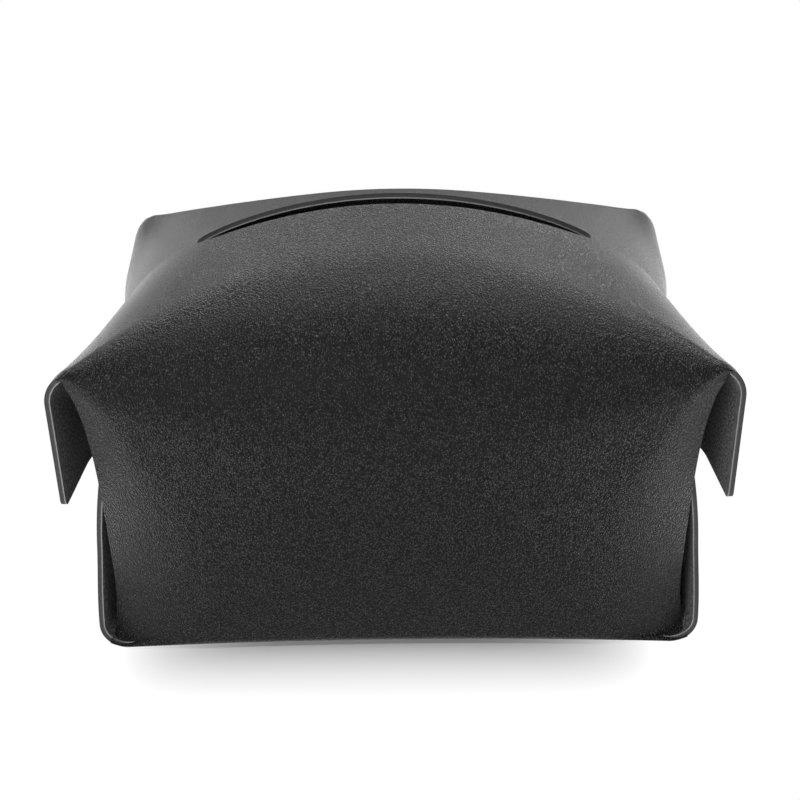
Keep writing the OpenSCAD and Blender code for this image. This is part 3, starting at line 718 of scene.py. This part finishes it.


# How far a floor point lies from the painted soft contact shadow, as a share of the shadow's size
off_middle = maths("ABSOLUTE", maths("ADD", spot.outputs["X"], SHADOW_SHIFT))
sideways = maths("POWER", maths("DIVIDE", off_middle, SHADOW_HALF), SHADOW_POWER)
away = maths("SUBTRACT", maths("ABSOLUTE", spot.outputs["Y"]), SHADOW_START)
away = maths("DIVIDE", maths("MAXIMUM", away, 0.0), SHADOW_RUN)
far = maths("ADD", maths("POWER", sideways, 2.0), maths("POWER", away, 2.0))
far = maths("SQRT", far, clamp=True)
seen = maths("MULTIPLY_ADD", far, path.outputs["Is Camera Ray"], path.outputs["Is Glossy Ray"],
             clamp=True)
# Where the table glows as painted light in the leather's reflections: the start, the end and the
# strength of each brighter part
to_side, to_front = (node(tree, "ShaderNodeMapRange", interpolation_type="SMOOTHSTEP")
                     for _ in range(2))
for ramp, (near, beyond, top) in ((to_side, REFLECTED_GLOW_SIDE), (to_front, REFLECTED_GLOW_FRONT)):
    ramp.inputs["From Min"].default_value = near
    ramp.inputs["From Max"].default_value = beyond
    ramp.inputs["To Max"].default_value = top
beside = maths("ABSOLUTE", spot.outputs["X"])
past_front = maths("SUBTRACT", maths("ABSOLUTE", spot.outputs["Y"]), REFLECTED_GLOW_TURN_Y)
beside = maths("MULTIPLY_ADD", past_front, REFLECTED_GLOW_SLANT, beside)
tree.links.new(beside, to_side.inputs["Value"])
tree.links.new(maths("ABSOLUTE", spot.outputs["Y"]), to_front.inputs["Value"])
painted_reflection = maths("ADD", maths("ADD", to_side.outputs[0], to_front.outputs[0]), REFLECTED_GLOW_BASE - 1)
strength = maths("MULTIPLY_ADD", painted_reflection, path.outputs["Is Glossy Ray"], 1.0)
tree.links.new(strength, glow.inputs["Strength"])
blend = node(tree, "ShaderNodeMixShader")
tree.links.new(seen, blend.inputs[0])
tree.links.new(shader.outputs[0], blend.inputs[1])
tree.links.new(glow.outputs[0], blend.inputs[2])
# From below, the floor lets the underside be seen
facing = node(tree, "ShaderNodeNewGeometry")
clear = node(tree, "ShaderNodeBsdfTransparent")
below = node(tree, "ShaderNodeMixShader")
tree.links.new(facing.outputs["Backfacing"], below.inputs[0])
tree.links.new(blend.outputs[0], below.inputs[1])
tree.links.new(clear.outputs[0], below.inputs[2])
tree.links.new(below.outputs[0], tree.nodes["Material Output"].inputs["Surface"])
floor_mesh.materials.append(mat)

# The world is white to the camera alone, and gives no light
world = bpy.data.worlds.new("studio")
bpy.context.scene.world = world
world.use_nodes = True
tree = world.node_tree
sky = tree.nodes["Background"]
sky.inputs["Color"].default_value = (1, 1, 1, 1)
sky.inputs["Strength"].default_value = 0.0
white = node(tree, "ShaderNodeBackground", {"Color": (1, 1, 1, 1), "Strength": 1.0})
path = node(tree, "ShaderNodeLightPath")
swap = node(tree, "ShaderNodeMixShader")
tree.links.new(path.outputs["Is Camera Ray"], swap.inputs[0])
tree.links.new(sky.outputs[0], swap.inputs[1])
tree.links.new(white.outputs[0], swap.inputs[2])
tree.links.new(swap.outputs[0], tree.nodes["World Output"].inputs["Surface"])

# Each softbox by name, azimuth (0 is the front, 90 the right, 180 the back), height and watts
SOFTBOXES = (("overhead", 0, 90, 5.2), ("back_right_high", 135, 55, 3.3),
             ("back_high", 180, 55, 2.2), ("back_right", 150, 28, 3.4),
             ("back_left", 210, 28, 2.8), ("front_left", 330, 28, 3.1), ("front", 0, 28, 0.35))
SOFTBOX_SIZE = (0.5, 0.42)
AIM = Vector((0, 0, 0.05))
for name, azimuth, height, watts in SOFTBOXES:
    data = bpy.data.lights.new(name, "AREA")
    data.shape = "RECTANGLE"
    data.size, data.size_y = SOFTBOX_SIZE
    data.energy = watts
    box = bpy.data.objects.new(name, data)
    turn, rise = math.radians(azimuth), math.radians(height)
    box.location = AIM + Vector((math.sin(turn) * math.cos(rise),
                                 -math.cos(turn) * math.cos(rise), math.sin(rise)))
    box.rotation_euler = (AIM - box.location).to_track_quat("-Z", "Y").to_euler()
    bpy.context.scene.collection.objects.link(box)

# The camera, as fitted to the photograph's outline
FOCAL_PIXELS = 1062
PICTURE_PIXELS = 800
SENSOR = 36
CAMERA_PITCH, CAMERA_YAW, CAMERA_ROLL = (math.radians(a) for a in (30.34, 0.22, -0.8))
CAMERA_PLACE = (0.0026, -0.3455, 0.2569)
camera = bpy.data.objects.new("camera", bpy.data.cameras.new("camera"))
bpy.context.scene.collection.objects.link(camera)
bpy.context.scene.camera = camera
camera.data.sensor_width = SENSOR
camera.data.lens = FOCAL_PIXELS * SENSOR / PICTURE_PIXELS
look = Matrix.Rotation(math.pi / 2 - CAMERA_PITCH, 3, "X") @ Matrix.Rotation(CAMERA_ROLL, 3, "Z")
look = Matrix.Rotation(CAMERA_YAW, 3, "Z") @ look
camera.matrix_world = Matrix.Translation(CAMERA_PLACE) @ look.to_4x4()

view = bpy.context.scene.view_settings
view.view_transform = "Standard"
